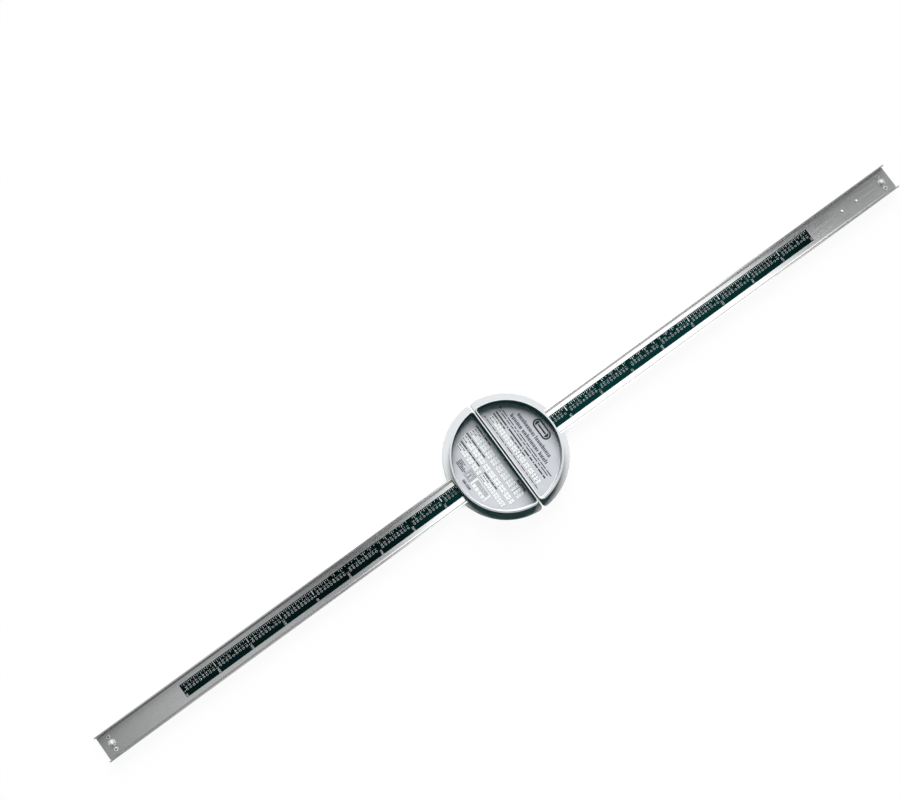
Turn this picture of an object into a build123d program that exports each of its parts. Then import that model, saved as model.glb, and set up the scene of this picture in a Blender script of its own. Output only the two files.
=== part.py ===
from build123d import *

import os
from math import asin, degrees, pi, radians, sqrt, tan

# Drive belt gauge: two half discs slide on a channel rail that carries a printed scale.
# A belt is laid round both half discs, they are pushed apart until it is tight, and its
# length is read on the scale at the straight edge of the lower half disc.
# The rail runs along Y with the scale's start at +Y, and Z points up from the surface that
# the feet stand on. The origin is under the middle of the rail.

# Rail, an aluminium channel, which is as long as the scale and its two blank ends
rail_width = 36.5
rail_height = 10.0
rail_wall = 1.8
rail_floor = 2.0
rail_inner_radius = 2.5
rail_outer_radius = 0.8

# Scale tape: half a millimetre of rail for each millimetre of belt
belt_shortest = 500.0
belt_longest = 2500.0
blank_before_scale = 135.2
blank_after_scale = 119.8
tape_width = 18.0
tape_margin = 0.5
tape_thickness = 0.2

# Half discs: closed, they measure the closed length round the wall
closed_length = 457.0
closed_gap = 1.9
flange_width = 8.8
plate_thickness = 2.5
wall_height = 12.0
rim_width = 2.3
straight_rim_width = 1.5
wall_draft = 7.0
wall_foot_radius = 1.0
outer_corner_radius = 6.0
inner_corner_radius = 3.6
flange_corner_radius = 4.5
flange_edge_radius = 0.8
rim_edge_radius = 0.35
bead_width = 1.0
bead_drop = 0.45
notch_depth = 5.6
nub_radius = 1.3
nub_height = 3.0

# Guides under each half disc, which hold it on the rail
side_clearance = 0.6
top_clearance = 0.3
cheek_thickness = 5.0
cheek_end = 76.0
boss_radius = 4.2
boss_offset = 3.2
rib_thickness = 1.6
rib_depth = 4.0
rib_places = (9.0, 31.0, 53.0)
tongue_width = 26.0
tongue_length = 10.0

# Keeper plate under the rail, with its glide strips and screws
keeper_thickness = 1.6
keeper_start = 7.0
keeper_end = 60.0
keeper_edge = 4.8
keeper_corner_radius = 4.0
glide_thickness = 0.5
glide_width = 6.0
glide_clearance = 0.05
glide_inset = 4.0
glide_edge = 1.0
screw_radius = 1.6
screw_head_radius = 2.9
screw_length = 9.5
screw_inset = 8.0
screw_clearance = 0.05
cross_width = 0.8
cross_length = 3.6
cross_depth = 0.9

# Brake spring in one cheek, pressing on the side of the rail
brake_start = 18.0
brake_end = 50.0
brake_height = 5.0
brake_thickness = 0.4
brake_pocket_depth = 2.2
brake_play = 0.05

# Parking spring of the upper half disc: its two holes drop over two pips in the rail
pip_radius = 2.3
pip_height = 1.2
pip_dent_radius = 1.6
pip_dent_height = 1.0
pip_reach = 33.6
pip_spacing = 24.5
leaf_thickness = 0.4
leaf_width = 13.0
leaf_lift = 0.15
leaf_overhang = 7.0
leaf_tip = 4.0
leaf_tip_rise = 1.6
leaf_hole_clearance = 0.6
leaf_screw_radius = 1.0
leaf_screw_head_radius = 1.8
leaf_screw_head_height = 0.7
leaf_screw_length = 4.5
leaf_screw_spacing = 9.0

# Labels in the half discs
label_thickness = 0.2
label_inset = 1.0
label_corner_radius = 2.4
label_notch_radius = 2.1

# Rail ends: a foot, two tube rivets and a stop stud
foot_height = 4.5
foot_length = 24.0
foot_inset = 1.3
foot_corner_radius = 3.0
rivet_from_end = 12.9
rivet_spacing = 18.0
rivet_head_radius = 2.9
rivet_head_height = 0.8
rivet_head_chamfer = 0.45
rivet_tube_radius = 2.0
rivet_bore_radius = 1.3
rivet_clearance = 0.05
tail_radius = 3.0
tail_thickness = 0.7
tail_recess = 1.6
tail_recess_clearance = 0.5
stud_head_radius = 5.0
stud_head_step = 0.8
stud_head_chamfer = 0.45
stud_dome_radius = 3.9
stud_dome_height = 2.2
stud_shank_radius = 2.4

# Heights and places that follow from the sizes
rail_bottom = foot_height
floor_top = rail_bottom + rail_floor
rail_top = rail_bottom + rail_height
plate_bottom = rail_top + top_clearance
plate_top = plate_bottom + plate_thickness
rim_top = plate_top + wall_height
keeper_top = rail_bottom - glide_clearance - glide_thickness
keeper_bottom = keeper_top - keeper_thickness
leaf_bottom = floor_top + pip_height + leaf_lift
leaf_top = leaf_bottom + leaf_thickness

wall_radius = closed_length / (2 * pi)
flange_radius = wall_radius + flange_width
straight_face = closed_gap / 2
draft_run = wall_height * tan(radians(wall_draft))
floor_radius = wall_radius - rim_width - draft_run
floor_start = straight_face + straight_rim_width + draft_run
notch_start = sqrt(flange_radius**2 - (rail_width / 2) ** 2) - notch_depth

guide_half = rail_width / 2 + side_clearance
channel_half = rail_width / 2 - rail_wall
boss_x = guide_half + cheek_thickness + boss_offset
keeper_width = 2 * (boss_x + keeper_edge)
screw_rows = (keeper_start + screw_inset, keeper_end - screw_inset)
screw_points = [(side * boss_x, row) for side in (-1, 1) for row in screw_rows]
tongue_end = wall_radius
tongue_start = tongue_end - tongue_length
leaf_screw_row = (tongue_start + tongue_end) / 2
leaf_holes = (pip_reach, pip_reach + pip_spacing)
screw_head_height = screw_head_radius - screw_radius
brake_low = rail_bottom + (rail_height - brake_height) / 2
brake_high = brake_low + brake_height

scale_length = (belt_longest - belt_shortest) / 2
rail_length = blank_before_scale + scale_length + blank_after_scale
first_mark_y = rail_length / 2 - blank_before_scale
last_mark_y = first_mark_y - scale_length
closing_y = (first_mark_y + last_mark_y) / 2
parked_y = first_mark_y + (belt_shortest - closed_length) / 2
pip_places = [parked_y + reach for reach in leaf_holes]
rivet_y = rail_length / 2 - rivet_from_end

centred_up = (Align.CENTER, Align.CENTER, Align.MIN)
centred_down = (Align.CENTER, Align.CENTER, Align.MAX)
# The upper end of the rail is the one where the scale starts
ends = {"upper": 1, "lower": -1}


def cap(base_radius, height, upwards=True, mode=Mode.ADD):
    # A low dome: the part of a sphere above a circle of the base radius.
    sphere_radius = (base_radius**2 + height**2) / (2 * height)
    base_angle = degrees(asin((sphere_radius - height) / sphere_radius))
    turn = (0, 0, 0) if upwards else (180, 0, 0)
    align = centred_up if upwards else centred_down
    Sphere(sphere_radius, arc_size1=base_angle, rotation=turn, align=align, mode=mode)


def d_shape(plane, radius, straight, corner_radius):
    # Half a disc with a straight side and two rounded corners.
    with BuildSketch(plane) as outline:
        Circle(radius)
        with Locations((0, straight)):
            Rectangle(
                4 * radius, 2 * radius, align=(Align.CENTER, Align.MAX), mode=Mode.SUBTRACT
            )
        fillet(outline.vertices(), corner_radius)
    return outline.sketch


def box_between(low, high, mode=Mode.ADD):
    size = [high[axis] - low[axis] for axis in range(3)]
    with Locations(low):
        Box(*size, align=(Align.MIN, Align.MIN, Align.MIN), mode=mode)


def save(piece, name):
    piece.label = name
    export_step(piece, f"parts/{name}.step")


def make_rail():
    with BuildPart() as rail:
        with BuildSketch(Plane.XZ):
            with BuildSketch(mode=Mode.PRIVATE) as inside:
                with Locations((0, floor_top)):
                    Rectangle(
                        2 * channel_half, 2 * rail_height, align=(Align.CENTER, Align.MIN)
                    )
                fillet(inside.vertices().group_by(Axis.Y)[0], rail_inner_radius)
            with BuildSketch(mode=Mode.PRIVATE) as outside:
                with Locations((0, rail_bottom)):
                    Rectangle(rail_width, rail_height, align=(Align.CENTER, Align.MIN))
                fillet(outside.vertices().group_by(Axis.Y)[0], rail_outer_radius)
            add(outside.sketch)
            add(inside.sketch, mode=Mode.SUBTRACT)
        extrude(amount=rail_length / 2, both=True)
        for pip_y in pip_places:
            with Locations((0, pip_y, floor_top)):
                cap(pip_radius, pip_height)
            with Locations((0, pip_y, rail_bottom)):
                cap(pip_dent_radius, pip_dent_height, mode=Mode.SUBTRACT)
        for end in ends.values():
            with Locations((0, end * rivet_y, rail_bottom)):
                Cylinder(
                    stud_shank_radius + rivet_clearance,
                    rail_floor,
                    align=centred_up,
                    mode=Mode.SUBTRACT,
                )
                with GridLocations(rivet_spacing, 0, 2, 1):
                    Cylinder(
                        rivet_tube_radius + rivet_clearance,
                        rail_floor,
                        align=centred_up,
                        mode=Mode.SUBTRACT,
                    )
    return rail.part


def make_tape():
    with BuildPart() as tape:
        box_between(
            (-tape_width / 2, last_mark_y - tape_margin, floor_top),
            (tape_width / 2, first_mark_y + tape_margin, floor_top + tape_thickness),
        )
    return tape.part


def make_foot(end):
    foot_middle = end * (rail_length - foot_length) / 2
    with BuildPart() as foot:
        with BuildSketch() as outline:
            with Locations((0, foot_middle)):
                Rectangle(rail_width - 2 * foot_inset, foot_length)
            fillet(outline.vertices(), foot_corner_radius)
            with Locations((0, end * rivet_y)):
                Circle(stud_shank_radius + rivet_clearance, mode=Mode.SUBTRACT)
                with GridLocations(rivet_spacing, 0, 2, 1):
                    Circle(rivet_tube_radius + rivet_clearance, mode=Mode.SUBTRACT)
        extrude(amount=foot_height)
        with Locations((0, end * rivet_y, 0)):
            with GridLocations(rivet_spacing / 2, 0, 3, 1):
                Cylinder(
                    tail_radius + tail_recess_clearance,
                    tail_recess,
                    align=centred_up,
                    mode=Mode.SUBTRACT,
                )
    return foot.part


def make_tube_rivets(end):
    with BuildPart() as rivets:
        with Locations((0, end * rivet_y, 0)):
            with GridLocations(rivet_spacing, 0, 2, 1):
                with Locations((0, 0, floor_top)):
                    Cylinder(rivet_head_radius, rivet_head_height, align=centred_up)
                with Locations((0, 0, tail_recess)):
                    Cylinder(rivet_tube_radius, floor_top - tail_recess, align=centred_up)
                    Cylinder(tail_radius, tail_thickness, align=centred_down)
        top_rims = rivets.edges().filter_by(GeomType.CIRCLE).group_by(Axis.Z)[-1]
        chamfer(top_rims, rivet_head_chamfer)
        with Locations((0, end * rivet_y, 0)):
            with GridLocations(rivet_spacing, 0, 2, 1):
                Cylinder(
                    rivet_bore_radius, 3 * floor_top, align=Align.CENTER, mode=Mode.SUBTRACT
                )
    return rivets.part


def make_stop_stud(end):
    with BuildPart() as stud:
        with Locations((0, end * rivet_y, floor_top)):
            Cylinder(stud_head_radius, stud_head_step, align=centred_up)
        chamfer(stud.edges().group_by(Axis.Z)[-1], stud_head_chamfer)
        with Locations((0, end * rivet_y, floor_top + stud_head_step)):
            cap(stud_dome_radius, stud_dome_height)
        with Locations((0, end * rivet_y, tail_recess)):
            Cylinder(stud_shank_radius, floor_top - tail_recess, align=centred_up)
            Cylinder(tail_radius, tail_thickness, align=centred_down)
    return stud.part


def make_half_disc(base):
    top = base.offset(rim_top)
    cheek_outside = guide_half + cheek_thickness
    with BuildPart(base) as disc:
        # Plate with a rounded flange edge
        plate = d_shape(
            base.offset(plate_bottom), flange_radius, straight_face, flange_corner_radius
        )
        extrude(plate, amount=plate_thickness)
        flange_edges = disc.edges().filter_by(GeomType.CIRCLE).group_by(Axis.Z)[-1]
        fillet(flange_edges.sort_by(SortBy.LENGTH)[-1], flange_edge_radius)
        # Wall that carries the belt, with a bead that is lower than the rim
        wall = d_shape(top, wall_radius, straight_face, outer_corner_radius)
        extrude(wall, amount=-wall_height)
        rim = d_shape(
            top, wall_radius - bead_width, straight_face, outer_corner_radius - bead_width
        )
        extrude(wall - rim, amount=-bead_drop, mode=Mode.SUBTRACT)
        # Hollow with drafted walls and a rounded foot
        hollow = d_shape(
            top,
            wall_radius - rim_width,
            straight_face + straight_rim_width,
            inner_corner_radius,
        )
        extrude(hollow, amount=-wall_height, taper=wall_draft, mode=Mode.SUBTRACT)
        level_faces = disc.faces().filter_by(Axis.Z)
        hollow_floor = level_faces.filter_by_position(
            Axis.Z, plate_top - rim_edge_radius, plate_top + rim_edge_radius
        ).sort_by(SortBy.AREA)[-1]
        fillet(hollow_floor.edges(), wall_foot_radius)
        rim_face = disc.faces().filter_by(Axis.Z).sort_by(Axis.Z)[-1]
        fillet(rim_face.edges(), rim_edge_radius)
        # Small moulded nub at the foot of the straight wall
        with Locations((0, floor_start, plate_top)):
            Cylinder(nub_radius, nub_height, align=centred_up)
        # Stiffening rib under the wall, and ribs across the plate
        skirt = d_shape(
            base.offset(plate_bottom), wall_radius, straight_face, outer_corner_radius
        )
        skirt_inside = d_shape(
            base.offset(plate_bottom),
            wall_radius - rib_thickness,
            straight_face + rib_thickness,
            outer_corner_radius - rib_thickness,
        )
        extrude(skirt - skirt_inside, amount=-rib_depth)
        for row in rib_places:
            reach = sqrt((wall_radius - rib_thickness / 2) ** 2 - row**2)
            box_between(
                (-reach, row - rib_thickness / 2, plate_bottom - rib_depth),
                (reach, row + rib_thickness / 2, plate_bottom),
            )
        # Way for the rail, open to the notch in the flange
        box_between(
            (-guide_half, straight_face - rib_thickness, keeper_top),
            (guide_half, flange_radius, plate_bottom),
            Mode.SUBTRACT,
        )
        box_between(
            (-guide_half, notch_start, plate_bottom),
            (guide_half, flange_radius + flange_width, plate_top),
            Mode.SUBTRACT,
        )
        # Cheeks beside the rail, with bosses for the keeper screws
        for side in (-1, 1):
            box_between(
                (min(side * guide_half, side * cheek_outside), straight_face, keeper_top),
                (max(side * guide_half, side * cheek_outside), cheek_end, plate_bottom),
            )
        with Locations(*[(x, row, keeper_top) for x, row in screw_points]):
            Cylinder(boss_radius, plate_bottom - keeper_top, align=centred_up)
        box_between(
            (-guide_half, straight_face, keeper_top),
            (guide_half, cheek_end, plate_bottom),
            Mode.SUBTRACT,
        )
        with Locations(*[(x, row, keeper_bottom) for x, row in screw_points]):
            Cylinder(
                screw_radius + screw_clearance,
                screw_length + screw_clearance,
                align=centred_up,
                mode=Mode.SUBTRACT,
            )
        # Pocket for the brake spring
        box_between(
            (guide_half, brake_start, brake_low - brake_play),
            (guide_half + brake_pocket_depth, brake_end, brake_high + brake_play),
            Mode.SUBTRACT,
        )
        # Tongue that reaches into the rail, stops at the stud and carries the parking spring
        box_between(
            (-tongue_width / 2, tongue_start, leaf_top),
            (tongue_width / 2, tongue_end, plate_bottom),
        )
        with Locations((0, leaf_screw_row, leaf_bottom)):
            with GridLocations(leaf_screw_spacing, 0, 2, 1):
                Cylinder(
                    leaf_screw_radius + screw_clearance,
                    leaf_screw_length + screw_clearance,
                    align=centred_up,
                    mode=Mode.SUBTRACT,
                )
    return disc.part


def make_label(base):
    label_straight = floor_start + label_inset
    with BuildPart(base) as label:
        outline = d_shape(
            base.offset(plate_top), floor_radius - label_inset, label_straight, label_corner_radius
        )
        extrude(outline, amount=label_thickness)
        with Locations((0, floor_start, plate_top)):
            Cylinder(
                label_notch_radius + nub_radius,
                label_thickness,
                align=centred_up,
                mode=Mode.SUBTRACT,
            )
    return label.part


def make_keeper_plate(base):
    with BuildPart(base) as keeper:
        with BuildSketch(base.offset(keeper_bottom)) as outline:
            with Locations((0, (keeper_start + keeper_end) / 2)):
                Rectangle(keeper_width, keeper_end - keeper_start)
            fillet(outline.vertices(), keeper_corner_radius)
        extrude(amount=keeper_thickness)
        with Locations(*[(x, row, keeper_bottom) for x, row in screw_points]):
            Cylinder(
                screw_radius + screw_clearance,
                keeper_thickness,
                align=centred_up,
                mode=Mode.SUBTRACT,
            )
            Cone(
                screw_head_radius + screw_clearance,
                screw_radius + screw_clearance,
                screw_head_height,
                align=centred_up,
                mode=Mode.SUBTRACT,
            )
    return keeper.part


def make_keeper_screws(base):
    with BuildPart(base) as screws:
        with Locations(*[(x, row, keeper_bottom) for x, row in screw_points]):
            Cylinder(screw_radius, screw_length, align=centred_up)
            Cone(screw_head_radius, screw_radius, screw_head_height, align=centred_up)
            Box(cross_length, cross_width, cross_depth, align=centred_up, mode=Mode.SUBTRACT)
            Box(cross_width, cross_length, cross_depth, align=centred_up, mode=Mode.SUBTRACT)
    return screws.part


def make_glide_strips(base):
    with BuildPart(base) as strips:
        for side in (-1, 1):
            middle = side * (rail_width / 2 - glide_inset - glide_width / 2)
            box_between(
                (middle - glide_width / 2, keeper_start + glide_edge, keeper_top),
                (
                    middle + glide_width / 2,
                    keeper_end - glide_edge,
                    keeper_top + glide_thickness,
                ),
            )
    return strips.part


def make_brake_spring(base):
    back = guide_half + brake_pocket_depth - brake_play
    front = rail_width / 2 + brake_play
    start = brake_start + brake_play
    end = brake_end - brake_play
    middle = (start + end) / 2
    with BuildPart(base) as spring:
        with BuildSketch(base.offset(brake_low)):
            with BuildLine():
                ThreePointArc(
                    (back - brake_thickness, start),
                    (front, middle),
                    (back - brake_thickness, end),
                )
                Line((back - brake_thickness, end), (back, end))
                ThreePointArc((back, end), (front + brake_thickness, middle), (back, start))
                Line((back, start), (back - brake_thickness, start))
            make_face()
        extrude(amount=brake_high - brake_low)
    return spring.part


def make_parking_spring(base):
    side_view = Plane(origin=base.origin, x_dir=base.y_dir, z_dir=base.x_dir)
    leaf_start = pip_reach - leaf_overhang
    leaf_end = tongue_end - leaf_thickness
    with BuildPart(base) as spring:
        with BuildSketch(side_view):
            with BuildLine():
                Polyline(
                    (leaf_start - leaf_tip, leaf_bottom + leaf_tip_rise),
                    (leaf_start, leaf_bottom),
                    (leaf_end, leaf_bottom),
                    (leaf_end, leaf_top),
                    (leaf_start, leaf_top),
                    (leaf_start - leaf_tip, leaf_top + leaf_tip_rise),
                    close=True,
                )
            make_face()
        extrude(amount=leaf_width / 2, both=True)
        with Locations(*[(0, reach, leaf_bottom) for reach in leaf_holes]):
            Cylinder(
                pip_radius + leaf_hole_clearance,
                leaf_thickness,
                align=centred_up,
                mode=Mode.SUBTRACT,
            )
        with Locations((0, leaf_screw_row, leaf_bottom)):
            with GridLocations(leaf_screw_spacing, 0, 2, 1):
                Cylinder(
                    leaf_screw_radius + screw_clearance,
                    leaf_thickness,
                    align=centred_up,
                    mode=Mode.SUBTRACT,
                )
    return spring.part


def make_parking_screws(base):
    with BuildPart(base) as screws:
        with Locations((0, leaf_screw_row, leaf_bottom)):
            with GridLocations(leaf_screw_spacing, 0, 2, 1):
                Cylinder(leaf_screw_radius, leaf_screw_length, align=centred_up)
                Cylinder(leaf_screw_head_radius, leaf_screw_head_height, align=centred_down)
    return screws.part


os.makedirs("parts", exist_ok=True)

save(make_rail(), "rail_channel")
save(make_tape(), "scale_tape")
for name, end in ends.items():
    save(make_foot(end), f"foot_{name}")
    save(make_tube_rivets(end), f"tube_rivets_{name}")
    save(make_stop_stud(end), f"stop_stud_{name}")

for name, end in ends.items():
    base = Plane(origin=(0, closing_y, 0), x_dir=(end, 0, 0), z_dir=(0, 0, 1))
    save(make_half_disc(base), f"half_disc_{name}")
    save(make_label(base), f"label_{name}")
    save(make_keeper_plate(base), f"keeper_plate_{name}")
    save(make_keeper_screws(base), f"keeper_screws_{name}")
    save(make_glide_strips(base), f"glide_strips_{name}")
    save(make_brake_spring(base), f"brake_spring_{name}")
    if name == "upper":
        save(make_parking_spring(base), "parking_spring")
        save(make_parking_screws(base), "parking_spring_screws")
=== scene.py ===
import math

import bpy
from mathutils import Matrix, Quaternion, Vector


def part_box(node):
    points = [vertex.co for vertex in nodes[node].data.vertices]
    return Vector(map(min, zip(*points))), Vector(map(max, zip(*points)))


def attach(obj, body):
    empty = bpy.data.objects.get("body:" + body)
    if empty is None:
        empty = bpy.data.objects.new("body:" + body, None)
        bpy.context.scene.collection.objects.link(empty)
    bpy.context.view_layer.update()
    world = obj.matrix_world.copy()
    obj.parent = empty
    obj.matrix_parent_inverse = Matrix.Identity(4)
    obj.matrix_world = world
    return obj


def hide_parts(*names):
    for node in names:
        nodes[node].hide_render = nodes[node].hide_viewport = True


# A drive belt gauge seen from above on white: two half discs on a channel rail with a scale.
# The rail runs along Y, the scale starts at its +Y end, and sizes are in millimetres times mm.

mm = 0.001

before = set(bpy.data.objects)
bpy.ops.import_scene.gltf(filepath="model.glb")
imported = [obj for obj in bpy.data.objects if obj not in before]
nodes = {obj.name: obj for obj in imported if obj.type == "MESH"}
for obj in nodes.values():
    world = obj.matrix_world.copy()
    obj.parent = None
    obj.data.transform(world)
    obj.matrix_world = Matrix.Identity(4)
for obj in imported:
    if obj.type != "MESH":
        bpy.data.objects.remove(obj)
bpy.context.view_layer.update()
tapeLow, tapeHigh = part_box("scale_tape")
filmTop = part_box("label_upper")[1].z
closingY = (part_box("half_disc_upper")[0].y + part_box("half_disc_lower")[1].y) / 2
print("frame loaded with", len(nodes), "nodes")


# Camera, at the photograph's viewing angle; roll is in degrees, lens and sensor in millimetres
camera = {
    "place": (25.6 * mm, -188.3 * mm, 1700 * mm),
    "aim": (-100.1 * mm, -23.4 * mm, 17.3 * mm),
    "roll": 16.72,
    "lens": 52.94,
    "sensor": 36.0,
    "near": 10 * mm,
    "far": 20,
}


def makeCamera(settings):
    place = Vector(settings["place"])
    look = (Vector(settings["aim"]) - place).to_track_quat("-Z", "Y")
    turn = look @ Quaternion((0, 0, 1), math.radians(settings["roll"]))
    bpy.ops.object.camera_add(location=place, rotation=turn.to_euler())
    made = bpy.context.object
    made.name = "gaugeCamera"
    made.data.lens = settings["lens"]
    made.data.sensor_width = settings["sensor"]
    made.data.clip_start = settings["near"]
    made.data.clip_end = settings["far"]
    bpy.context.scene.camera = made


makeCamera(camera)
print("camera placed")


# Selection and edit helpers
def clearSelection():
    bpy.ops.object.select_all(action="DESELECT")


def selectOnly(piece):
    clearSelection()
    piece.select_set(True)
    bpy.context.view_layer.objects.active = piece


def editWith(piece, kind, test):
    modes = {"vertices": "VERT", "edges": "EDGE", "polygons": "FACE"}
    selectOnly(piece)
    bpy.ops.object.mode_set(mode="EDIT")
    bpy.ops.mesh.select_mode(type=modes[kind])
    bpy.ops.mesh.select_all(action="DESELECT")
    bpy.ops.object.mode_set(mode="OBJECT")
    for item in getattr(piece.data, kind):
        item.select = test(item)
    bpy.ops.object.mode_set(mode="EDIT")


def leaveEdit():
    bpy.ops.object.mode_set(mode="OBJECT")


def applyLast(piece):
    selectOnly(piece)
    bpy.ops.object.modifier_apply(modifier=piece.modifiers[-1].name)


def joinAll(parts, name):
    clearSelection()
    for part in parts:
        part.select_set(True)
    bpy.context.view_layer.objects.active = parts[0]
    bpy.ops.object.transform_apply(location=True, rotation=True, scale=True)
    if len(parts) > 1:
        bpy.ops.object.join()
    piece = bpy.context.object
    piece.name = name
    return piece


def repeatAlongTape(piece, count, pitch):
    copies = piece.modifiers.new("repeat", "ARRAY")
    copies.use_relative_offset = False
    copies.use_constant_offset = True
    copies.constant_offset_displace = (0, -pitch, 0)
    copies.count = count
    applyLast(piece)


def addPatch(left, right, bottom, top, height):
    clearSelection()
    middle = ((left + right) / 2, (bottom + top) / 2, height)
    bpy.ops.mesh.primitive_plane_add(size=1, location=middle)
    patch = bpy.context.object
    patch.scale = (right - left, top - bottom, 1)
    return patch


figureShare = 0.69  # the height of the built-in font's figures, over its size


def addFigures(words, x, y, z, look):
    # x, y is the middle of the figures.
    clearSelection()
    low = y - look["height"] / 2
    bpy.ops.object.text_add(location=(x, low, z))
    figures = bpy.context.object
    figures.data.body = words
    figures.data.size = look["height"] / figureShare
    figures.data.resolution_u = look["steps"]
    figures.data.offset = look["boldness"]
    figures.data.space_character = look["spacing"]
    figures.data.align_x = "CENTER"
    figures.scale = (look["stretch"], 1, 1)
    bpy.ops.object.convert(target="MESH")
    return bpy.context.object


def addSkin(piece, thickness):
    skin = piece.modifiers.new("skin", "SOLIDIFY")
    skin.thickness = thickness
    skin.offset = 1
    applyLast(piece)


def thicken(piece, thickness):
    # Merges the flat figures and ticks, turns them up and gives them their thickness.
    mergeWithin = 0.0005 * mm
    flatWithin = math.radians(1)
    editWith(piece, "vertices", lambda vertex: True)
    bpy.ops.mesh.remove_doubles(threshold=mergeWithin)
    bpy.ops.mesh.dissolve_limited(angle_limit=flatWithin)
    bpy.ops.mesh.normals_make_consistent(inside=False)
    leaveEdit()
    if piece.data.polygons[0].normal.z < 0:
        piece.data.flip_normals()
    addSkin(piece, thickness)


# Finishes
def newFinish(name, colour, roughness, metallic=0.0):
    finish = bpy.data.materials.new(name)
    finish.use_nodes = True
    shader = finish.node_tree.nodes["Principled BSDF"]
    shader.inputs["Base Color"].default_value = (*colour, 1)
    shader.inputs["Roughness"].default_value = roughness
    shader.inputs["Metallic"].default_value = metallic
    return finish


def addNoise(finish, scale, detail, stretch=(1, 1, 1)):
    tree = finish.node_tree
    place = tree.nodes.new("ShaderNodeTexCoord")
    mapping = tree.nodes.new("ShaderNodeMapping")
    mapping.inputs["Scale"].default_value = stretch
    noise = tree.nodes.new("ShaderNodeTexNoise")
    noise.inputs["Scale"].default_value = scale
    noise.inputs["Detail"].default_value = detail
    tree.links.new(place.outputs["Object"], mapping.inputs["Vector"])
    tree.links.new(mapping.outputs["Vector"], noise.inputs["Vector"])
    return noise.outputs["Fac"]


def addRange(finish, source, fromLow, fromHigh, toLow, toHigh):
    tree = finish.node_tree
    change = tree.nodes.new("ShaderNodeMapRange")
    change.inputs["From Min"].default_value = fromLow
    change.inputs["From Max"].default_value = fromHigh
    change.inputs["To Min"].default_value = toLow
    change.inputs["To Max"].default_value = toHigh
    tree.links.new(source, change.inputs["Value"])
    return change.outputs["Result"]


def addTint(finish, source, low, high):
    tree = finish.node_tree
    tint = tree.nodes.new("ShaderNodeMix")
    tint.data_type = "RGBA"
    tint.inputs["A"].default_value = (*low, 1)
    tint.inputs["B"].default_value = (*high, 1)
    tree.links.new(source, tint.inputs["Factor"])
    return tint.outputs["Result"]


def plug(finish, source, socket):
    shader = finish.node_tree.nodes["Principled BSDF"]
    finish.node_tree.links.new(source, shader.inputs[socket])


def addBump(finish, source, distance):
    tree = finish.node_tree
    bump = tree.nodes.new("ShaderNodeBump")
    bump.inputs["Distance"].default_value = distance
    tree.links.new(source, bump.inputs["Height"])
    earlier = tree.nodes["Principled BSDF"].inputs["Normal"].links
    if earlier:
        tree.links.new(earlier[0].from_socket, bump.inputs["Normal"])
    plug(finish, bump.outputs["Normal"], "Normal")


def addMath(tree, operation, first, second):
    # Each source is a socket or a plain number.
    step = tree.nodes.new("ShaderNodeMath")
    step.operation = operation
    for socket, source in zip(step.inputs, (first, second)):
        if isinstance(source, bpy.types.NodeSocket):
            tree.links.new(source, socket)
        else:
            socket.default_value = source
    return step.outputs[0]


# How the patches and the grain of each kind change its roughness, and how deep the grain is
metalGrain = {
    "lineDetail": 2.0,
    "cloudScale": 22,
    "cloudDetail": 4.0,
    "cloudStretch": (1, 0.4, 1),
    "smoother": 0.06,
    "rougher": 0.08,
    "depth": 0.002 * mm,
}
plasticGrain = {
    "grainScale": 2600,
    "grainDetail": 2.0,
    "flowScale": 28,
    "flowDetail": 3.0,
    "smoother": 0.05,
    "rougher": 0.07,
    "depth": 0.02 * mm,
}
tintSpan = (0.35, 0.65)  # the middle of a noise, where the tint goes from dark to full
shineSpan = (0.3, 0.7)  # and where the roughness does


def addWear(finish, patches, shine, dark, colour, roughness, grain):
    tint = addTint(finish, addRange(finish, patches, *tintSpan, 0, 1), dark, colour)
    plug(finish, tint, "Base Color")
    low, high = roughness - grain["smoother"], roughness + grain["rougher"]
    plug(finish, addRange(finish, shine, *shineSpan, low, high), "Roughness")


def brushedMetal(name, colour, dark, roughness, streaks, metallic=1.0):
    # Lengthwise drawing lines and broader cloudy patches
    finish = newFinish(name, colour, roughness, metallic)
    lines = addNoise(finish, 1, metalGrain["lineDetail"], streaks)
    clouds = addNoise(
        finish, metalGrain["cloudScale"], metalGrain["cloudDetail"], metalGrain["cloudStretch"]
    )
    addWear(finish, clouds, lines, dark, colour, roughness, metalGrain)
    addBump(finish, lines, metalGrain["depth"])
    return finish


def mouldedPlastic(name, colour, dark, roughness):
    # Fine spark-eroded grain with faint flow marks
    finish = newFinish(name, colour, roughness)
    grain = addNoise(finish, plasticGrain["grainScale"], plasticGrain["grainDetail"])
    flow = addNoise(finish, plasticGrain["flowScale"], plasticGrain["flowDetail"])
    addWear(finish, flow, flow, dark, colour, roughness, plasticGrain)
    addBump(finish, grain, plasticGrain["depth"])
    return finish


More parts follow.
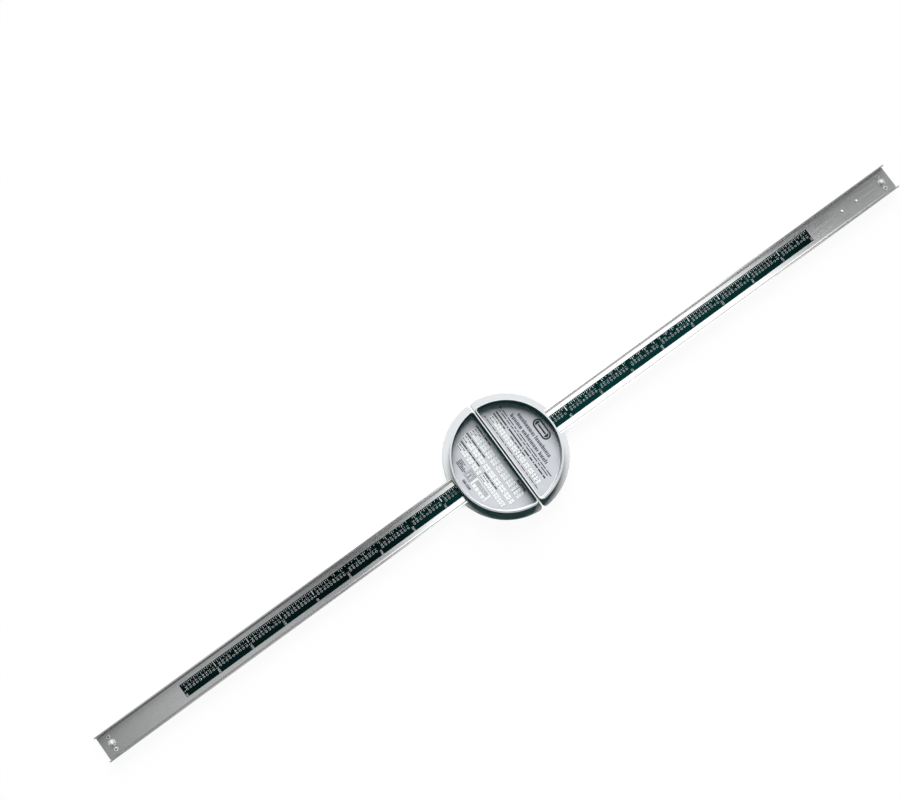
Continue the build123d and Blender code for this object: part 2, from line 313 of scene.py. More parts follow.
# Name, full colour, dark colour and roughness, and for metals the scale of the streaks
# along each axis and how metallic they are
finishes = {
    "rail": brushedMetal(
        "drawnAluminium", (0.94, 0.945, 0.945), (0.89, 0.90, 0.90), 0.13, (5200, 26, 5200), 0.9
    ),
    "keeper": brushedMetal(
        "stampedAluminium", (0.72, 0.73, 0.74), (0.62, 0.63, 0.64), 0.38, (26, 2600, 2600)
    ),
    "rivet": brushedMetal(
        "platedSteel", (0.95, 0.94, 0.93), (0.86, 0.85, 0.85), 0.18, (1400, 1400, 1400), 0.5
    ),
    "screw": brushedMetal(
        "zincSteel", (0.66, 0.67, 0.66), (0.52, 0.53, 0.52), 0.3, (2200, 2200, 2200)
    ),
    "spring": brushedMetal(
        "springSteel", (0.50, 0.51, 0.53), (0.40, 0.40, 0.42), 0.26, (3000, 60, 3000)
    ),
    "disc": mouldedPlastic("greyPlastic", (0.71, 0.71, 0.725), (0.68, 0.685, 0.70), 0.42),
    "glide": mouldedPlastic("glidePlastic", (0.82, 0.81, 0.76), (0.76, 0.75, 0.70), 0.35),
    "foot": mouldedPlastic("footRubber", (0.022, 0.023, 0.025), (0.015, 0.016, 0.017), 0.7),
    "tape": mouldedPlastic("blackFilm", (0.001, 0.0012, 0.0012), (0.0006, 0.0008, 0.0008), 0.12),
    "figures": brushedMetal(
        "bareFigures", (0.90, 0.91, 0.91), (0.84, 0.85, 0.86), 0.26, (900, 900, 900), 0.7
    ),
    "dark": mouldedPlastic("darkInk", (0.030, 0.036, 0.042), (0.022, 0.026, 0.031), 0.5),
    "cell": mouldedPlastic("paperWhiteInk", (0.87, 0.875, 0.88), (0.83, 0.835, 0.84), 0.5),
}

railFloor = {
    "bow": 1.5,
    "pips": [(0, 547.4 * mm, 7 * mm), (0, 571.9 * mm, 7 * mm)],
    "pipRadius": 2.4 * mm,
}


def bowAcross(finish, amount):
    # The floor of the drawn rail is a little hollow across its width.
    tree = finish.node_tree
    place = tree.nodes.new("ShaderNodeTexCoord")
    split = tree.nodes.new("ShaderNodeSeparateXYZ")
    tree.links.new(place.outputs["Object"], split.inputs[0])
    addBump(finish, addMath(tree, "POWER", split.outputs["X"], 2), amount)


def mattSpots(finish, places, radius):
    # Painted highlight: the pips' tops are made matt and pale so they show as bright dots, fully
    # so up to half the radius.
    tree = finish.node_tree
    place = tree.nodes.new("ShaderNodeTexCoord")
    nearest = None
    for spot in places:
        reach = tree.nodes.new("ShaderNodeVectorMath")
        reach.operation = "DISTANCE"
        reach.inputs[1].default_value = spot
        tree.links.new(place.outputs["Object"], reach.inputs[0])
        distance = reach.outputs["Value"]
        nearest = distance if nearest is None else addMath(tree, "MINIMUM", nearest, distance)
    metallic = tree.nodes["Principled BSDF"].inputs["Metallic"].default_value
    plug(finish, addRange(finish, nearest, 0.5 * radius, radius, 0, metallic), "Metallic")


bowAcross(finishes["rail"], railFloor["bow"])
# Painted highlights: pale matt spots on the pips stand in for their shine.
mattSpots(finishes["rail"], railFloor["pips"], railFloor["pipRadius"])

silver = {
    "dark": (0.545, 0.555, 0.595),
    "pale": (0.635, 0.645, 0.68),
    "metallic": 0.05,
    "smooth": 0.32,
    "rough": 0.44,
    "cloudScale": 16,
    "cloudDetail": 3.0,
    "fibreScale": 900,
    "fibreDetail": 2.0,
    "fibreDepth": 0.006 * mm,
}


def silverFilm(settings):
    # Silver-grey printed film, a little cloudy
    finish = newFinish("silverFilm", settings["pale"], settings["rough"], settings["metallic"])
    clouds = addNoise(finish, settings["cloudScale"], settings["cloudDetail"])
    fibres = addNoise(finish, settings["fibreScale"], settings["fibreDetail"])
    plug(finish, addTint(finish, clouds, settings["dark"], settings["pale"]), "Base Color")
    shine = addRange(finish, clouds, *shineSpan, settings["smooth"], settings["rough"])
    plug(finish, shine, "Roughness")
    addBump(finish, fibres, settings["fibreDepth"])
    return finish


finishes["film"] = silverFilm(silver)

# Which finish each node wears, by the start of its name; the first that fits counts
dressing = {
    "rail_channel": "rail",
    "scale_tape": "tape",
    "foot": "foot",
    "tube_rivets": "rivet",
    "stop_stud": "rivet",
    "half_disc": "disc",
    "label": "film",
    "keeper_plate": "keeper",
    "keeper_screws": "screw",
    "glide_strips": "glide",
    "brake_spring": "spring",
    "parking_spring_screws": "screw",
    "parking_spring": "spring",
}


def dress(piece, finish):
    piece.data.materials.clear()
    piece.data.materials.append(finishes[finish])


# How much each finish mirrors, and the tint of what it mirrors
mirroring = {
    "tape": (0.3, (0.05, 1.0, 1.0)),
    "foot": (0.2, (1.0, 1.0, 1.0)),
    "disc": (0.15, (0.2, 1.0, 1.0)),
    "film": (0.2, (1.0, 1.0, 1.0)),
}

for name, (level, colour) in mirroring.items():
    shader = finishes[name].node_tree.nodes["Principled BSDF"]
    shader.inputs["Specular IOR Level"].default_value = level
    shader.inputs["Specular Tint"].default_value = (*colour, 1)

for nodeName, node in nodes.items():
    kind = next(start for start in dressing if nodeName.startswith(start))
    dress(node, dressing[kind])
print("finishes made and CAD nodes dressed")


# Scale print: ticks at the tape's left edge and figures beside them
# A tick is its start and end from the tape's left edge, and its width.
scalePrint = {
    "first": 500,
    "last": 2500,
    "perStep": 100,
    "stepPitch": 50 * mm,
    "endMargin": 0.5 * mm,
    "shortTick": (0.7 * mm, 2.4 * mm, 0.6 * mm),
    "middleTick": (0.7 * mm, 4.2 * mm, 0.6 * mm),
    "longTick": (0.3 * mm, 7.8 * mm, 1.1 * mm),
    "smallMiddle": 8.2 * mm,
    "largeMiddle": 13.6 * mm,
    "lift": 0.6 * mm,
    "thickness": 0.03 * mm,
    "smallLook": {
        "height": 3.3 * mm,
        "stretch": 1.22,
        "spacing": 1.12,
        "boldness": 0.02 * mm,
        "steps": 3,
    },
    "largeLook": {
        "height": 3.3 * mm,
        "stretch": 0.98,
        "spacing": 0.95,
        "boldness": 0.02 * mm,
        "steps": 3,
    },
}


def makeScalePrint(settings):
    left = tapeLow.x
    top = tapeHigh.z
    firstMark = tapeHigh.y - settings["endMargin"]
    pitch = settings["stepPitch"]
    steps = (settings["last"] - settings["first"]) // settings["perStep"]

    def addTick(kind, y):
        start, end, width = settings[kind]
        return addPatch(left + start, left + end, y - width / 2, y + width / 2, top)

    tenth = pitch / 10
    short = joinAll([addTick("shortTick", firstMark - tenth / 2)], "shortTicks")
    repeatAlongTape(short, 10 * steps, tenth)
    middle = joinAll([addTick("middleTick", firstMark - tenth)], "middleTicks")
    repeatAlongTape(middle, 9, tenth)
    repeatAlongTape(middle, steps, pitch)
    long = joinAll([addTick("longTick", firstMark - pitch)], "longTicks")
    repeatAlongTape(long, steps - 1, pitch)

    tens = []
    for ten in range(1, 10):
        y = firstMark - ten * pitch / 10 + settings["lift"]
        place = (left + settings["smallMiddle"], y, top)
        tens.append(addFigures(str(10 * ten), *place, settings["smallLook"]))
    tens = joinAll(tens, "tens")
    repeatAlongTape(tens, steps, pitch)

    look = settings["largeLook"]
    highest = tapeHigh.y - look["height"] / 2
    lowest = tapeLow.y + look["height"] / 2
    hundreds = []
    for step in range(steps + 1):
        value = settings["first"] + step * settings["perStep"]
        y = firstMark - step * pitch + settings["lift"]
        y = min(max(y, lowest), highest)
        place = (left + settings["largeMiddle"], y, top)
        hundreds.append(addFigures(str(value), *place, look))
    hundreds = joinAll(hundreds, "hundreds")

    piece = joinAll([short, middle, long, tens, hundreds], "scale_print")
    thicken(piece, settings["thickness"])
    dress(piece, "figures")
    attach(piece, "rail")


makeScalePrint(scalePrint)
print("scale printed")


# Label films: the D-shaped film in each dish, a little wavy where it isn't printed
film = {
    "roundSteps": 180,
    "corner": 2.4 * mm,
    "cornerSteps": 6,
    "onEdge": 0.01 * mm,
    "notch": 3.4 * mm,
    "notchSteps": 32,
    "notchInset": 1.0 * mm,
    "spare": 4 * mm,
    "cells": (96, 48),
    "smoothWithin": 30,
    # x from the rail's middle, y from the closing line, rise and reach, in millimetres
    "pulls": {
        "upper": [
            (-40, 57, 0.17, 8),
            (8, 64, 0.2, 6),
            (38, 50, 0.17, 9),
            (61, 12, 0.2, 8),
            (-62, 12, 0.17, 7),
        ],
        "lower": [
            (-60, -10, 0.42, 8),
            (-38, -6.5, 0.37, 5),
            (-20, -6, 0.48, 5),
            (-5, -7, 0.51, 4),
            (5, -7, 0.51, 4),
            (18, -6.5, 0.44, 5),
            (33, -6, 0.34, 5),
            (61, -11, 0.41, 8),
            (-40, -52, 0.27, 9),
            (-8, -62, 0.24, 6),
            (42, -50, 0.24, 9),
        ],
    },
}


def pullUp(piece, x, y, rise, reach):
    middle = Vector((x * mm, closingY + y * mm, filmTop))
    nearest = min(piece.data.vertices, key=lambda vertex: (vertex.co - middle).length)
    index = nearest.index
    editWith(piece, "vertices", lambda vertex: vertex.index == index)
    bpy.ops.transform.translate(
        value=(0, 0, rise * mm),
        use_proportional_edit=True,
        proportional_edit_falloff="SMOOTH",
        proportional_size=reach * mm,
    )
    leaveEdit()


def makeOutline(settings, radius, edge, up, low, depth):
    # A disc cut along its straight edge, with rounded corners
    clearSelection()
    bpy.ops.mesh.primitive_circle_add(
        vertices=settings["roundSteps"],
        radius=radius,
        fill_type="NGON",
        location=(0, closingY, low - depth),
    )
    outline = joinAll([bpy.context.object], "outline")
    editWith(outline, "vertices", lambda vertex: True)
    bpy.ops.mesh.bisect(plane_co=(0, edge, 0), plane_no=(0, up, 0), clear_inner=True)
    leaveEdit()
    editWith(outline, "vertices", lambda vertex: abs(vertex.co.y - edge) < settings["onEdge"])
    bpy.ops.mesh.bevel(
        offset=settings["corner"], segments=settings["cornerSteps"], affect="VERTICES"
    )
    leaveEdit()
    editWith(outline, "polygons", lambda face: True)
    bpy.ops.mesh.extrude_region_move(TRANSFORM_OT_translate={"value": (0, 0, 3 * depth)})
    bpy.ops.mesh.select_all(action="SELECT")
    bpy.ops.mesh.normals_make_consistent(inside=False)
    leaveEdit()
    return outline


def makePunch(settings, edge, up, low, depth):
    # The round punch for the notch in the straight edge
    clearSelection()
    bpy.ops.mesh.primitive_cylinder_add(
        vertices=settings["notchSteps"],
        radius=settings["notch"],
        depth=4 * depth,
        location=(0, edge - up * settings["notchInset"], low),
    )
    return joinAll([bpy.context.object], "punch")


def cutWith(piece, tool, operation):
    cut = piece.modifiers.new("cut", "BOOLEAN")
    cut.operation = operation
    cut.object = tool
    applyLast(piece)
    bpy.data.objects.remove(tool)


def makeFilm(side, settings):
    name = "label_" + side
    low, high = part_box(name)
    up = 1 if side == "upper" else -1
    radius = max(high.y - closingY, closingY - low.y)
    edge = closingY + up * min(abs(low.y - closingY), abs(high.y - closingY))
    depth = high.z - low.z
    outline = makeOutline(settings, radius, edge, up, low.z, depth)

    clearSelection()
    columns, rows = settings["cells"]
    bpy.ops.mesh.primitive_grid_add(x_subdivisions=columns, y_subdivisions=rows, size=1)
    sheet = bpy.context.object
    sheet.scale = (2 * radius + settings["spare"], radius + settings["spare"], 1)
    sheet.location = (0, closingY + up * radius / 2, low.z)
    sheet = joinAll([sheet], name + "_film")
    addSkin(sheet, depth)
    cutWith(sheet, outline, "INTERSECT")
    cutWith(sheet, makePunch(settings, edge, up, low.z, depth), "DIFFERENCE")

    for pull in settings["pulls"][side]:
        pullUp(sheet, *pull)
    selectOnly(sheet)
    bpy.ops.object.shade_smooth_by_angle(angle=math.radians(settings["smoothWithin"]))
    dress(sheet, "film")
    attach(sheet, side + "_half")
    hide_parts(name)
    return sheet


films = {side: makeFilm(side, film) for side in ("upper", "lower")}
print("label films cut")


# Label print: tables of plain numbers, rows of bars and posts, and small drawings
def seriesOfBars(left, right, widths, gap):
    # Bars of the given widths, scaled so that the last one ends at the right
    total = sum(widths) + gap * (len(widths) - 1)
    share = (right - left) / total
    places = []
    x = left
    for width in widths:
        places.append((x, x + width * share))
        x += (width + gap) * share
    return places


# All in millimetres, x from the rail's middle and y from the closing line.
# A line is left, right, y, height, widths and gap; a title has its posts' pattern instead.
labelPrint = {
    "upper": {
        "tables": [
            {
                "left": -53.6,
                "top": 17.9,
                "row": 3.7,
                "columns": [17.1, 8.8, 8.8, 8.8, 8.8, 8.8, 8.8, 8.8, 8.8, 8.8, 9.8],
                "thick": [5, 9],
                "rows": [
                    ["5", "10", "15", "20", "25", "30", "35", "40", "45", "50"],
                    ["4", "8", "12", "16", "20", "24", "28", "32", "36", "40"],
                ],
            }
        ],
        "lines": [
            (-58, 57, 7.95, 1.0, [3, 9, 6, 4, 9, 3, 10, 6, 5, 8, 4, 9, 6], 1.4),
            (-53.6, -28.8, 19.5, 1.5, [10, 3, 6, 5], 1.3),
            (-17, 14.5, 19.5, 1.4, [8, 5, 5, 3, 7], 1.6),
            (-53.6, 52.3, 23.5, 1.9, [24, 2, 30, 2, 11, 6, 2, 7, 9, 5], 1.6),
            (-52.8, 51.3, 28.0, 1.2, [3, 8, 6, 5, 3, 10, 5, 9, 10, 4, 12], 1.3),
            (-56.3, 54.8, 31.2, 1.2, [4, 9, 11, 4, 3, 12, 6, 12, 4, 10, 9], 1.3),
        ],
        "titles": [
            (-39, 37.8, 37.3, 5.4, "hnnmn nnhnmnni hnnli"),
            (-34.5, 33.3, 45.3, 5.6, "nmnhnnmni lnnmhnnin"),
        ],
        "beltMark": {
            "middle": (-0.8, 57.5),
            "length": 30.5,
            "outer": 6.5,
            "belt": 2.1,
            "gap": 0.9,
            "rail": 1.1,
        },
    },
    "lower": {
        "tables": [
            {
                "left": -53.3,
                "top": -9.8,
                "row": 3.75,
                "columns": [17.1, 11.15, 11.15, 11.15, 11.15, 11.15, 11.15, 11.15, 11.25],
                "thick": [7],
                "rows": [
                    ["8", "10", "13", "16", "19", "22", "25", "32"],
                    ["30", "36", "42", "48", "54", "60", "66", "72"],
                    ["12", "18", "24", "30", "36", "42", "48", "54"],
                ],
            },
            {
                "left": -53.3,
                "top": -24.9,
                "row": 3.9,
                "columns": [17.1, 11.15, 11.15, 11.15, 11.15, 11.15, 11.15, 11.15, 11.25],
                "thick": [],
                "rows": [
                    ["6", "9", "12", "15", "18", "21", "24", "27"],
                    ["15", "20", "25", "30", "35", "40", "45", "50"],
                ],
            },
            {
                "left": -49.5,
                "top": -37.0,
                "row": 3.7,
                "columns": [16.5, 10.5, 10.5, 11],
                "thick": [],
                "rows": [["14", "17", "20"], ["26", "34", "42"]],
            },
            {
                "left": 0.4,
                "top": -36.6,
                "row": 3.7,
                "columns": [16.6, 8.2, 8.2, 8.2, 8.2],
                "thick": [],
                "rows": [["2", "3", "4", "5"], ["7", "11", "15", "19"]],
            },
        ],
        "lines": [
            (-53.3, -22.3, -8.0, 1.6, [14, 2, 6, 6], 1.3),
            (33.8, 50, -5.8, 1.4, [4, 11], 1.3),
            (33, 51.2, -7.6, 1.5, [12, 2, 6], 1.3),
            (-53.3, -14.2, -23.3, 1.6, [12, 13, 2, 9, 8], 1.3),
            (-49.5, -9.2, -35.3, 1.6, [16, 2, 7, 8, 9], 1.3),
            (0.4, 27.1, -34.9, 1.6, [14, 2, 7, 6], 1.3),
            (-31, -21, -49.2, 1.0, [8, 3], 1.0),
            (-31, -22.5, -51.2, 1.0, [3, 5], 1.0),
            (-31, -17, -52.9, 1.0, [11, 2], 1.0),
            (-31, -13.7, -54.7, 1.0, [6, 12], 1.0),
            (-31, -15.5, -56.6, 1.0, [14], 1.0),
        ],
        "titles": [],
        "openBook": {
            "frame": (-12.7, -0.7, -57.8, -46.2),
            "line": 0.4,
            "pages": (-56.2, -50.4),
            "spine": 0.3,
            "reach": 4.5,
            "bars": 4,
            "bar": 1.1,
            "barPitch": 2.6,
            "barsLow": -48.9,
            "barsHigh": -47.5,
        },
        "ruledPatch": {
            "patch": (0.8, 30.0, -57.8, -46.0),
            "first": 4.0,
            "pitch": 1.15,
            "ticks": 21,
            "longEvery": 5,
            "tick": 0.5,
            "high": -46.8,
            "longLow": -54.6,
            "shortLow": -53.0,
            "numbers": -56.2,
        },
        "range": ("500-2500", 0.0, -62.5),
    },
}

printLook = {
    "dropFrom": 2 * mm,
    "longestEdge": 4 * mm,
    "cuts": 6,
    "cellHeight": 0.02 * mm,
    "inkHeight": 0.05 * mm,
    "thickness": 0.02 * mm,
    "roundSteps": 48,
    "gridLine": 0.22,
    "thickLine": 0.7,
    "rowBars": {
        "inset": 1.5,
        "endInset": 2.5,
        "shorter": 4,
        "widths": [5, 2, 5],
        "gap": 1.0,
        "half": 0.55,
    },
    "figures": {
        "height": 1.5 * mm,
        "stretch": 1.1,
        "spacing": 1.05,
        "boldness": 0.06 * mm,
        "steps": 2,
    },
    "rangeFigures": {
        "height": 3.1 * mm,
        "stretch": 0.92,
        "spacing": 1.0,
        "boldness": 0.13 * mm,
        "steps": 3,
    },
}


def addBar(left, right, bottom, top, z, pile):
    low, high = closingY + bottom * mm, closingY + top * mm
    pile.append(addPatch(left * mm, right * mm, low, high, z))


def addTable(table, z, ink, cells):
    # A white ground, the grid, a pair of bars in the first column and plain numbers
    left = table["left"]
    right = left + sum(table["columns"])
    top = table["top"]
    bottom = top - table["row"] * len(table["rows"])
    line = printLook["gridLine"] / 2
    addBar(left, right, bottom, top, z, cells)
    for row in range(len(table["rows"]) + 1):
        y = top - row * table["row"]
        addBar(left - line, right + line, y - line, y + line, z, ink)
    x = left
    for number, width in enumerate([0] + table["columns"]):
        x += width
        half = printLook["thickLine"] / 2 if number - 1 in table["thick"] else line
        addBar(x - half, x + half, bottom, top, z, ink)
    bars = printLook["rowBars"]
    first = left + table["columns"][0]
    for row, values in enumerate(table["rows"]):
        y = top - (row + 0.5) * table["row"]
        barsEnd = first - bars["endInset"] - bars["shorter"] * row
        for start, end in seriesOfBars(left + bars["inset"], barsEnd, bars["widths"], bars["gap"]):
            addBar(start, end, y - bars["half"], y + bars["half"], z, ink)
        x = first
        for value, width in zip(values, table["columns"][1:]):
            place = ((x + width / 2) * mm, closingY + y * mm, z)
            ink.append(addFigures(value, *place, printLook["figures"]))
            x += width


# Foot and head of each post, in heights of the line
titlePosts = {
    "n": [(0.0, 0.72), (0.0, 0.72)],
    "m": [(0.0, 0.72), (0.0, 0.72), (0.0, 0.72)],
    "h": [(0.0, 1.0), (0.0, 0.72)],
    "l": [(0.0, 1.0)],
    "i": [(0.0, 0.72)],
    " ": [],
}
titleRhythm = {"post": 1.15, "slit": 0.55, "gap": 0.95, "space": 1.6}


def addTitle(left, right, y, height, pattern, z, ink):
    spans = []
    x = 0
    for group in pattern:
        for foot, head in titlePosts[group]:
            spans.append((x, x + titleRhythm["post"], foot, head))
            x += titleRhythm["post"] + titleRhythm["slit"]
        x += titleRhythm["gap"] - titleRhythm["slit"] if group != " " else titleRhythm["space"]
    share = (right - left) / spans[-1][1]
    base = y - height / 2
    for start, end, foot, head in spans:
        low, high = base + foot * height, base + head * height
        addBar(left + start * share, left + end * share, low, high, z, ink)


def addFrame(left, right, bottom, top, line, z, ink):
    half = line / 2
    for y in (bottom, top):
        addBar(left - half, right + half, y - half, y + half, z, ink)
    for x in (left, right):
        addBar(x - half, x + half, bottom, top, z, ink)


def addHalf(x, y, inner, outer, towards, z, ink):
    # Half a disc, or half a ring where there is an inner radius, round side towards +X or -X
    clearSelection()
    fill = "NOTHING" if inner else "NGON"
    place = (x * mm, closingY + y * mm, z)
    bpy.ops.mesh.primitive_circle_add(
        vertices=printLook["roundSteps"], radius=outer * mm, fill_type=fill, location=place
    )
    half = joinAll([bpy.context.object], "half")
    editWith(half, "vertices", lambda vertex: True)
    if inner:
        bpy.ops.mesh.extrude_edges_move()
        share = inner / outer
        bpy.ops.transform.resize(value=(share, share, 1), center_override=place)
        bpy.ops.mesh.select_all(action="SELECT")
    bpy.ops.mesh.bisect(plane_co=place, plane_no=(towards, 0, 0), clear_inner=True)
    leaveEdit()
    ink.append(half)


def addBeltMark(mark, z, ink):
    # A belt round two half discs on a rail
    x, y = mark["middle"]
    reach = mark["length"] / 2 - mark["outer"]
    inner = mark["outer"] - mark["belt"]
    for towards in (-1, 1):
        middle = x + towards * reach
        addHalf(middle, y, inner, mark["outer"], towards, z, ink)
        addHalf(middle, y, 0, inner - mark["gap"], towards, z, ink)
        run = y + towards * (inner + mark["belt"] / 2)
        addBar(x - reach, x + reach, run - mark["belt"] / 2, run + mark["belt"] / 2, z, ink)
    left, right = x - reach + mark["gap"], x + reach - mark["gap"]
    addBar(left, right, y - mark["rail"], y + mark["rail"], z, ink)


def addOpenBook(book, z, ink):
    # A frame with an open book and short bars over it
    left, right, bottom, top = book["frame"]
    line = book["line"]
    addFrame(left, right, bottom, top, line, z, ink)
    middle = (left + right) / 2
    low, high = book["pages"]
    for towards in (-1, 1):
        near = middle + towards * book["spine"]
        far = middle + towards * book["reach"]
        addFrame(min(near, far), max(near, far), low, high, line, z, ink)
    half = book["bar"] / 2
    for bar in range(book["bars"]):
        x = middle + (bar - (book["bars"] - 1) / 2) * book["barPitch"]
        addBar(x - half, x + half, book["barsLow"], book["barsHigh"], z, ink)


def addRuledPatch(patch, z, ink, cells):
    # A white patch with an even rule and its numbers
    addBar(*patch["patch"], z, cells)
    half = patch["tick"] / 2
    for tick in range(patch["ticks"]):
        x = patch["first"] + tick * patch["pitch"]
        long = tick % patch["longEvery"] == 0
        low = patch["longLow"] if long else patch["shortLow"]
        addBar(x - half, x + half, low, patch["high"], z, ink)
        if long:
            place = (x * mm, closingY + patch["numbers"] * mm, z)
            ink.append(addFigures(str(tick), *place, printLook["figures"]))


def layOn(piece, sheet, lift):
    # Cuts long faces short, lays them on the film and gives the ink its thickness.
    def isLong(edge):
        start, end = (piece.data.vertices[index].co for index in edge.vertices)
        return (start - end).length > printLook["longestEdge"]

    for _ in range(printLook["cuts"]):
        editWith(piece, "edges", isLong)
        bpy.ops.mesh.subdivide(number_cuts=1)
        leaveEdit()
    wrap = piece.modifiers.new("lay", "SHRINKWRAP")
    wrap.target = sheet
    wrap.wrap_method = "PROJECT"
    wrap.use_project_z = True
    wrap.use_negative_direction = True
    wrap.use_positive_direction = True
    wrap.offset = lift
    applyLast(piece)
    addSkin(piece, printLook["thickness"])


def makeLabelPrint(side):
    z = filmTop + printLook["dropFrom"]
    ink = []
    cells = []
    layout = labelPrint[side]
    for table in layout["tables"]:
        addTable(table, z, ink, cells)
    for left, right, y, height, widths, gap in layout["lines"]:
        for start, end in seriesOfBars(left, right, widths, gap):
            addBar(start, end, y - height / 2, y + height / 2, z, ink)
    for left, right, y, height, pattern in layout["titles"]:
        addTitle(left, right, y, height, pattern, z, ink)
    if "beltMark" in layout:
        addBeltMark(layout["beltMark"], z, ink)
    if "openBook" in layout:
        addOpenBook(layout["openBook"], z, ink)
        addRuledPatch(layout["ruledPatch"], z, ink, cells)
        words, x, y = layout["range"]
        ink.append(addFigures(words, x * mm, closingY + y * mm, z, printLook["rangeFigures"]))
    cellPiece = joinAll(cells, f"label_{side}_cells")
    layOn(cellPiece, films[side], printLook["cellHeight"])
    dress(cellPiece, "cell")
    inkPiece = joinAll(ink, f"label_{side}_ink")
    layOn(inkPiece, films[side], printLook["inkHeight"])
    dress(inkPiece, "dark")
    for piece in (cellPiece, inkPiece):
        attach(piece, side + "_half")


for side in ("upper", "lower"):
    makeLabelPrint(side)
print("labels printed")


# Floor, sky and lamp
stage = {
    "floorSize": 14.0,
    "floorColour": (0.90, 0.90, 0.90),
    "floorRoughness": 0.9,
    "plainShare": 0.95,
    "shelterReach": 80 * mm,
    "shelterLow": 0.12,
    "shelterHigh": 0.4,
    "shelterSamples": 12,
    "floorBounce": 0.5,
    "fill": (0.0, 0.030, 0.028),
    "room": 0.11,
    "glows": [
        {"middle": (-40, 10.8), "reach": (56, 12.6), "fade": 0.05, "level": 1.23},
        {"middle": (52, 9.5), "reach": (34, 10.5), "fade": 0.3, "level": 0.34},
        {"middle": (0, -9), "reach": (30, 4.5), "fade": 0.6, "level": 0.27},
        {"middle": (0, 37), "reach": (40, 11), "fade": 0.4, "level": 0.24},
    ],
    "keyAzimuth": 149.0,
    "keyElevation": 36.0,
    "keyStrength": 5.9,
    "keyAngle": 47.0,
    "keyAway": 2,
}


def makeFloor(settings):
    clearSelection()
    bpy.ops.mesh.primitive_plane_add(size=settings["floorSize"])
    floor = bpy.context.object
    floor.name = "floor"
    material = bpy.data.materials.new("paleFloor")
    material.use_nodes = True
    tree = material.node_tree
    paint = tree.nodes["Principled BSDF"]
    paint.inputs["Base Color"].default_value = (*settings["floorColour"], 1)
    paint.inputs["Roughness"].default_value = settings["floorRoughness"]
    plain = tree.nodes.new("ShaderNodeEmission")
    plain.inputs["Color"].default_value = (1, 1, 1, 1)
    path = tree.nodes.new("ShaderNodeLightPath").outputs
    # Close under the object the floor isn't plain white, so its shadow shows.
    shelter = tree.nodes.new("ShaderNodeAmbientOcclusion")
    shelter.samples = settings["shelterSamples"]
    shelter.inputs["Distance"].default_value = settings["shelterReach"]
    openness = tree.nodes.new("ShaderNodeMapRange")
    openness.inputs["From Min"].default_value = settings["shelterLow"]
    openness.inputs["From Max"].default_value = settings["shelterHigh"]
    tree.links.new(shelter.outputs["AO"], openness.inputs["Value"])
    seen = addMath(tree, "MAXIMUM", path["Is Camera Ray"], path["Is Glossy Ray"])
    share = addMath(tree, "MULTIPLY", seen, settings["plainShare"])
    share = addMath(tree, "MULTIPLY", share, openness.outputs["Result"])
    # What the lit floor throws back at the object
    bounce = addMath(tree, "MULTIPLY", path["Is Diffuse Ray"], settings["floorBounce"])
    mix = tree.nodes.new("ShaderNodeMixShader")
    tree.links.new(addMath(tree, "MAXIMUM", share, bounce), mix.inputs["Fac"])
    tree.links.new(paint.outputs[0], mix.inputs[1])
    tree.links.new(plain.outputs[0], mix.inputs[2])
    tree.links.new(mix.outputs[0], tree.nodes["Material Output"].inputs["Surface"])
    floor.data.materials.append(material)


def addGlow(tree, angles, glow):
    # A soft oval of light. Its middle and reach are angles from straight up: the first
    # turns round the rail, the second leans along it.
    squares = []
    for angle, middle, reach in zip(angles, glow["middle"], glow["reach"]):
        away = addMath(tree, "SUBTRACT", angle, math.radians(middle))
        share = addMath(tree, "DIVIDE", away, math.radians(reach))
        squares.append(addMath(tree, "MULTIPLY", share, share))
    radius = addMath(tree, "SQRT", addMath(tree, "ADD", *squares), 0)
    fade = tree.nodes.new("ShaderNodeMapRange")
    fade.interpolation_type = "SMOOTHSTEP"
    fade.inputs["From Min"].default_value = 1 - glow["fade"]
    fade.inputs["From Max"].default_value = 1 + glow["fade"]
    fade.inputs["To Min"].default_value = glow["level"]
    fade.inputs["To Max"].default_value = 0
    tree.links.new(radius, fade.inputs["Value"])
    return fade.outputs["Result"]


def addLight(tree, colour):
    light = tree.nodes.new("ShaderNodeBackground")
    light.inputs["Color"].default_value = (*colour, 1)
    return light


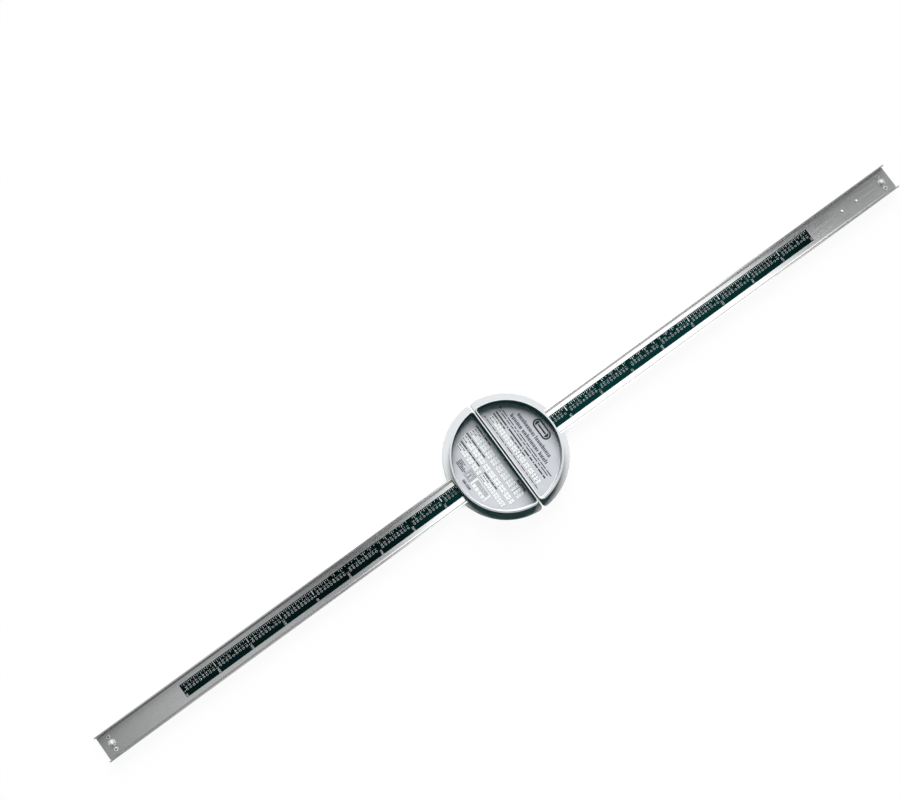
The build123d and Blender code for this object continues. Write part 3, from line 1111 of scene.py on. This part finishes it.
def makeSky(settings):
    # White to the camera, a faint cool fill for matt surfaces, and for shiny ones a dim
    # room with soft glows overhead.
    world = bpy.data.worlds.new("studio")
    bpy.context.scene.world = world
    world.cycles.sampling_method = "NONE"
    world.use_nodes = True
    tree = world.node_tree
    tree.nodes.clear()
    path = tree.nodes.new("ShaderNodeLightPath").outputs
    place = tree.nodes.new("ShaderNodeTexCoord")
    split = tree.nodes.new("ShaderNodeSeparateXYZ")
    tree.links.new(place.outputs["Generated"], split.inputs[0])
    angles = [
        addMath(tree, "ARCTAN2", split.outputs["X"], split.outputs["Z"]),
        addMath(tree, "ARCSINE", split.outputs["Y"], 0),
    ]
    strength = settings["room"]
    for glow in settings["glows"]:
        strength = addMath(tree, "ADD", addGlow(tree, angles, glow), strength)
    room = addLight(tree, (1, 1, 1))
    tree.links.new(strength, room.inputs["Strength"])
    fill = addLight(tree, settings["fill"])
    white = addLight(tree, (1, 1, 1))
    shiny = tree.nodes.new("ShaderNodeMixShader")
    final = tree.nodes.new("ShaderNodeMixShader")
    output = tree.nodes.new("ShaderNodeOutputWorld")
    tree.links.new(path["Is Glossy Ray"], shiny.inputs["Fac"])
    tree.links.new(fill.outputs[0], shiny.inputs[1])
    tree.links.new(room.outputs[0], shiny.inputs[2])
    tree.links.new(path["Is Camera Ray"], final.inputs["Fac"])
    tree.links.new(shiny.outputs[0], final.inputs[1])
    tree.links.new(white.outputs[0], final.inputs[2])
    tree.links.new(final.outputs[0], output.inputs["Surface"])


def makeKey(settings):
    azimuth = math.radians(settings["keyAzimuth"])
    rise = math.tan(math.radians(settings["keyElevation"]))
    towards = Vector((math.cos(azimuth), math.sin(azimuth), rise)).normalized()
    turn = towards.to_track_quat("Z", "Y").to_euler()
    clearSelection()
    bpy.ops.object.light_add(type="SUN", location=settings["keyAway"] * towards, rotation=turn)
    key = bpy.context.object
    key.name = "keyLamp"
    key.data.energy = settings["keyStrength"]
    key.data.angle = math.radians(settings["keyAngle"])
    key.data.cycles.max_bounces = 0
    key.visible_glossy = False


makeFloor(stage)
makeSky(stage)
makeKey(stage)
bpy.context.scene.view_settings.view_transform = "Standard"
print("floor, sky and lamp set")
